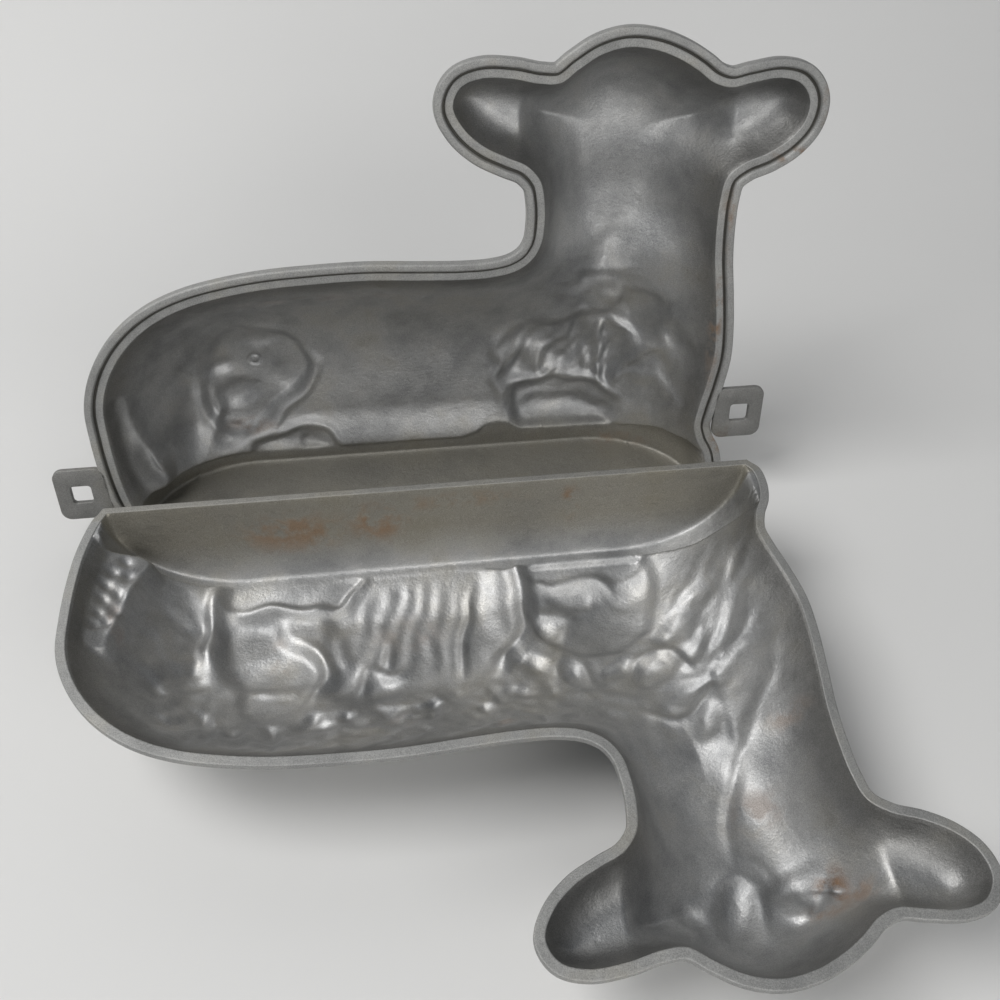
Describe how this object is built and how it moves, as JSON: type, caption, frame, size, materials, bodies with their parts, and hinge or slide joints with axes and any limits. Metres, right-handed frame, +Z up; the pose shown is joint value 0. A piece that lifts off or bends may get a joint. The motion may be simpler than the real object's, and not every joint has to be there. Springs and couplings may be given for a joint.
{
  "type": "lamb cake mould",
  "caption": "Cast aluminium cake mould in two deep halves that close into a lying lamb on an oval base; one half has a raised lip and two lugs with square holes.",
  "frame": {"origin": "centre of the base of the bounding box, on the surface that both halves rest on", "axes": "+X from the lamb's tail to its head, +Y from the lying face half to the standing back half, +Z up"},
  "size_m": [0.3612, 0.3436, 0.2294],
  "materials": {
    "face_cast": "dull as-cast aluminium, worn brighter on the rim, with brown baking stains",
    "back_cast": "dull as-cast aluminium, worn brighter on the lip, with brown baking stains"
  },
  "bodies": {
    "face": {"face_half": "face_cast"},
    "back": {"back_half": "back_cast"}
  },
  "joints": [
    {"name": "back_half_closing", "type": "hinge", "parent": "face", "child": "back", "pos_m": [0, 0.05316, 0.01353], "axis": [1, 0, 0], "range_deg": [0, 104]}
  ]
}
